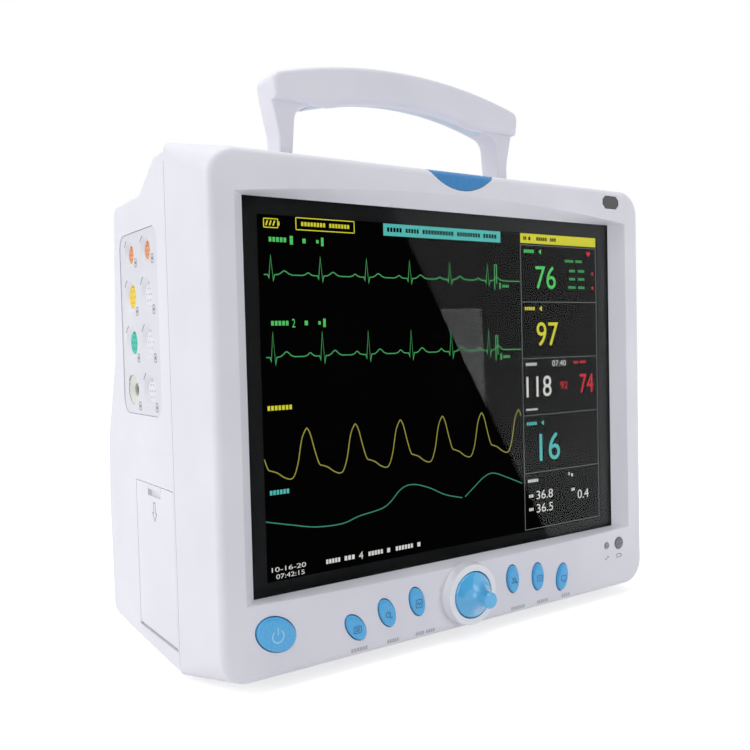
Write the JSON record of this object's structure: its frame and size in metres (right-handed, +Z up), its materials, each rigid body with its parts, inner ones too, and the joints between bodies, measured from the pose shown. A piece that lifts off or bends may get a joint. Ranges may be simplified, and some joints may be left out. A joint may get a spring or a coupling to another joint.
{
  "type": "patient monitor",
  "caption": "Bedside patient monitor with a carrying handle, lit waveform screen, front keys, a push-and-turn knob, patient lead sockets, a battery door and a chart recorder.",
  "frame": {"origin": "middle of the box round the part, on the floor plane under the feet", "axes": "+X to the right as the screen is read, +Y from the screen to the back, +Z up"},
  "size_m": [0.3172, 0.178, 0.3358],
  "materials": {
    "case_plastic": "fine spark-eroded grain",
    "front_plastic": "fine spark-eroded grain",
    "panel_plastic": "satin",
    "blue_button": "satin",
    "blue_knob": "semi-gloss",
    "lamp_lens": "clear blue lens",
    "screen_glass": "anti-reflection coated",
    "display": "lit picture",
    "dark_window": "infrared window",
    "green_lens": "lit lens",
    "amber_lens": "unlit lens",
    "socket_orange": "satin",
    "socket_yellow": "satin",
    "socket_white": "satin",
    "socket_teal": "satin",
    "port_plastic": "satin",
    "black_plastic": "satin",
    "rubber_dark": "matt",
    "soft_grip": "soft touch",
    "zinc_sheet": "zinc plated",
    "steel": "ground",
    "brass": "machined, nickel flash worn",
    "board_green": "solder mask",
    "cell_wrap": "shrink wrap",
    "paper": "thermal coated"
  },
  "bodies": {
    "monitor_case": {"front_bezel": "front_plastic", "knob_collar": "case_plastic", "alarm_lamp": "lamp_lens", "sensor_window": "dark_window", "keypad_board": "board_green", "encoder_body": "zinc_sheet", "screen_glass": "screen_glass", "lcd_panel": "display", "lcd_bracket": "zinc_sheet", "rear_case": "case_plastic", "case_screws": "steel", "connector_panel": "panel_plastic", "pressure_port": "port_plastic", "parameter_module": "board_green", "battery_hinge_pin": "steel", "battery_bay": "black_plastic", "battery_pack": "cell_wrap", "recorder_housing": "black_plastic", "recorder_hinge_pin": "steel", "print_head": "steel", "rear_panel": "zinc_sheet", "mains_inlet": "black_plastic", "fuse_holder": "black_plastic", "ground_stud": "brass", "network_socket": "zinc_sheet", "speaker": "black_plastic", "chassis_plate": "zinc_sheet", "main_board": "board_green", "power_supply_board": "board_green", "handle_shell": "front_plastic", "handle_insert": "soft_grip", "mains_led": "green_lens", "battery_led": "amber_lens", "socket_temperature_1": "socket_orange", "socket_temperature_2": "socket_orange", "socket_heart_leads": "socket_yellow", "socket_invasive_pressure_1": "socket_white", "socket_oxygen": "socket_teal", "socket_invasive_pressure_2": "socket_white", "socket_gas": "socket_white", "foot_front_left": "rubber_dark", "foot_front_right": "rubber_dark", "foot_rear_left": "rubber_dark", "foot_rear_right": "rubber_dark"},
    "knob_push": {"encoder_plunger": "steel"},
    "knob": {"encoder_shaft": "brass", "rotary_knob": "blue_knob"},
    "power_key": {"power_button": "blue_button"},
    "battery_lid": {"battery_door": "case_plastic"},
    "battery_catch": {"battery_latch": "case_plastic"},
    "recorder_lid": {"recorder_door": "case_plastic"},
    "platen_roller": {"recorder_platen": "rubber_dark"},
    "chart_paper": {"paper_roll": "paper"},
    "release_button": {"recorder_release": "blue_button"},
    "key_menu_cap": {"key_menu": "blue_button"},
    "key_pressure_cap": {"key_pressure": "blue_button"},
    "key_record_cap": {"key_record": "blue_button"},
    "key_silence_cap": {"key_silence": "blue_button"},
    "key_freeze_cap": {"key_freeze": "blue_button"},
    "key_home_cap": {"key_home": "blue_button"}
  },
  "joints": [
    {"name": "key_menu_press", "type": "slide", "parent": "monitor_case", "child": "key_menu_cap", "axis": [0, 1, 0], "range_m": [0, 0.001], "stiffness_N_per_m": 900},
    {"name": "key_pressure_press", "type": "slide", "parent": "monitor_case", "child": "key_pressure_cap", "axis": [0, 1, 0], "range_m": [0, 0.001], "stiffness_N_per_m": 900},
    {"name": "key_record_press", "type": "slide", "parent": "monitor_case", "child": "key_record_cap", "axis": [0, 1, 0], "range_m": [0, 0.001], "stiffness_N_per_m": 900},
    {"name": "key_silence_press", "type": "slide", "parent": "monitor_case", "child": "key_silence_cap", "axis": [0, 1, 0], "range_m": [0, 0.001], "stiffness_N_per_m": 900},
    {"name": "key_freeze_press", "type": "slide", "parent": "monitor_case", "child": "key_freeze_cap", "axis": [0, 1, 0], "range_m": [0, 0.001], "stiffness_N_per_m": 900},
    {"name": "key_home_press", "type": "slide", "parent": "monitor_case", "child": "key_home_cap", "axis": [0, 1, 0], "range_m": [0, 0.001], "stiffness_N_per_m": 900},
    {"name": "power_press", "type": "slide", "parent": "monitor_case", "child": "power_key", "axis": [0, 1, 0], "range_m": [0, 0.001], "stiffness_N_per_m": 1000},
    {"name": "knob_press", "type": "slide", "parent": "monitor_case", "child": "knob_push", "axis": [0, 1, 0], "range_m": [0, 0.0008], "stiffness_N_per_m": 3500},
    {"name": "knob_turn", "type": "hinge", "parent": "knob_push", "child": "knob", "pos_m": [-0.0012, -0.06, 0.0268], "axis": [0, -1, 0], "continuous": true},
    {"name": "battery_door_hinge", "type": "hinge", "parent": "monitor_case", "child": "battery_lid", "pos_m": [-0.15515, 0.00655, 0.0167], "axis": [0, -1, 0], "range_deg": [0, 90]},
    {"name": "battery_latch_slide", "type": "slide", "parent": "battery_lid", "child": "battery_catch", "axis": [0, 0, -1], "range_m": [0, 0.0018], "stiffness_N_per_m": 250},
    {"name": "recorder_door_hinge", "type": "hinge", "parent": "monitor_case", "child": "recorder_lid", "pos_m": [0.15515, 0.013, 0.1182], "axis": [0, 1, 0], "range_deg": [0, 90]},
    {"name": "platen_turn", "type": "hinge", "parent": "recorder_lid", "child": "platen_roller", "pos_m": [0.1498, 0.013, 0.1821], "axis": [0, 1, 0], "continuous": true},
    {"name": "paper_roll_turn", "type": "hinge", "parent": "monitor_case", "child": "chart_paper", "pos_m": [0.12955, 0.013, 0.1461], "axis": [0, 1, 0], "continuous": true},
    {"name": "recorder_release_press", "type": "slide", "parent": "monitor_case", "child": "release_button", "axis": [-1, 0, 0], "range_m": [0, 0.0015], "stiffness_N_per_m": 700}
  ]
}
